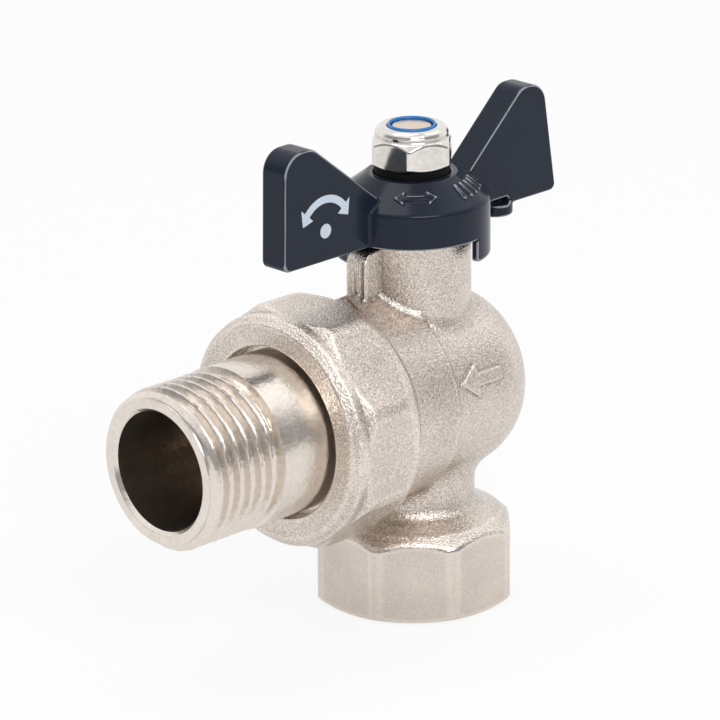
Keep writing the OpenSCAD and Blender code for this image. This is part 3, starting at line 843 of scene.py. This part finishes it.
materials = {
    "forged_nickel": metalMaterial("blasted nickel", forgedNickel),
    "turned_nickel": metalMaterial("turned nickel", turnedNickel),
    "bare_brass": metalMaterial("turned brass", paleBrass),
    "ball_chrome": metalMaterial("polished chrome", ballChrome),
    "bright_nut": metalMaterial("bright zinc", brightZinc),
    "handle_paint": plainMaterial("slate enamel", slateEnamel),
    "seat_plastic": plainMaterial("white seat plastic", seatPlastic),
    "seal_rubber": plainMaterial("seal rubber", sealRubber),
    "black_steel": plainMaterial("black oxide", blackOxide),
    "blue_nylon": plainMaterial("blue nylon", blueNylon),
}
slotOfNode = {row["node"]: row["material_slot"] for row in frame["record"]["subparts"]}
for name, node in frame["nodes"].items():
    node.data.materials.clear()
    node.data.materials.append(materials[slotOfNode[name]])
for piece in [o for o in bpy.data.objects if o.get("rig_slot")]:
    if piece is not wingSign:
        piece.data.materials.append(materials[piece["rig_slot"]])
wingSign.data.materials.append(plainMaterial("pale ink", paleInk))
print("materials done")


# the studio
studio = {
    "centre": (-0.01, 0, 0.035), "floorReach": 0.6, "floorDrop": 0.0002, "paper": 0.9,
    "floorSeen": 0.86, "floorMirrored": 0.4, "fill": 0.62,
    # the room behind the camera: how bright it is by the sine of the elevation
    "room": [(-1.0, 1.0), (-0.07, 1.0), (0.03, 0.3), (0.40, 0.3), (0.74, 1.0), (0.88, 1.0), (1.0, 0.8)],
    "backdropWay": (0.707, 0.707, 0), "backdropEdge": 0.3, "backdropSharp": 3,
    # azimuth and elevation in degrees, size in metres, power in watts
    "lampAway": 0.8,
    "lamps": [
        ("keyLamp", 246, 41, (0.5, 0.2), 2.3),
        ("sideLamp", 342, 54, (0.6, 0.4), 0.25),
        ("topLamp", 100, 75, (0.5, 0.4), 1.2),
    ],
}


def backdropShare(tree, seen=1.0, mirrored=1.0):   # for the camera, and for what metal and glass show
    ray = lambda kind: addNode(tree, "ShaderNodeLightPath", output=kind)
    reflected = ray("Is Glossy Ray") + ray("Is Transmission Ray")
    return (ray("Is Camera Ray") * seen + reflected * mirrored).clamp()


def addFloor(s):
    material, tree = newMaterial("floor paper")
    paper = addNode(tree, "ShaderNodeBsdfDiffuse", None, {"Color": (*[s["paper"]] * 3, 1)})
    white = addNode(tree, "ShaderNodeEmission", None, {"Color": (1, 1, 1, 1), "Strength": 1.0})
    mixed = addNode(tree, "ShaderNodeMixShader", None,
                    {0: backdropShare(tree, s["floorSeen"], s["floorMirrored"]), 1: paper, 2: white})
    addNode(tree, "ShaderNodeOutputMaterial", None, {"Surface": mixed})
    mesh = bpy.data.meshes.new("floor")
    r = s["floorReach"]
    mesh.from_pydata([(-r, -r, 0), (r, -r, 0), (r, r, 0), (-r, r, 0)], [], [(0, 1, 2, 3)])
    floor = bpy.data.objects.new("floor", mesh)
    floor.location.z = -s["floorDrop"]
    bpy.context.scene.collection.objects.link(floor)
    mesh.materials.append(material)


def addLamp(name, azimuth, elevation, size, power):
    data = bpy.data.lights.new(name, "AREA")
    data.shape, data.size, data.size_y, data.energy = "RECTANGLE", size[0], size[1], power
    lamp = bpy.data.objects.new(name, data)
    a, e = math.radians(azimuth), math.radians(elevation)
    out = Vector((math.cos(a) * math.cos(e), math.sin(a) * math.cos(e), math.sin(e)))
    lamp.location = Vector(studio["centre"]) + out * studio["lampAway"]
    lamp.rotation_mode = "QUATERNION"
    lamp.rotation_quaternion = out.to_track_quat("Z", "Y")
    bpy.context.scene.collection.objects.link(lamp)


def addWorld(s):
    world = bpy.data.worlds.new("studio")
    world.use_nodes = True
    tree = world.node_tree
    tree.nodes.clear()
    direction = addNode(tree, "ShaderNodeTexCoord", output="Generated")
    height = addNode(tree, "ShaderNodeSeparateXYZ", None, {0: direction}, "Z")
    stops = [(sine / 2 + 0.5, level) for sine, level in s["room"]]
    room = addNode(tree, "ShaderNodeValToRGB", {"stops": stops}, {0: height * 0.5 + 0.5})
    toBackdrop = addNode(tree, "ShaderNodeVectorMath", {"operation": "DOT_PRODUCT"},
                         {0: direction, 1: s["backdropWay"]}, 1)
    inRoom = ((s["backdropEdge"] - toBackdrop) * s["backdropSharp"]).clamp()
    surround = 1 - (1 - room) * inRoom
    fill = addNode(tree, "ShaderNodeBackground", None, {"Color": (1, 1, 1, 1), "Strength": s["fill"]})
    shown = addNode(tree, "ShaderNodeBackground", None, {"Color": surround, "Strength": 1.0})
    mixed = addNode(tree, "ShaderNodeMixShader", None, {0: backdropShare(tree), 1: fill, 2: shown})
    addNode(tree, "ShaderNodeOutputWorld", None, {"Surface": mixed})
    bpy.context.scene.world = world


addFloor(studio)
addWorld(studio)
for lamp in studio["lamps"]:
    addLamp(*lamp)
bpy.context.scene.view_settings.view_transform = "Standard"

print("scene done")
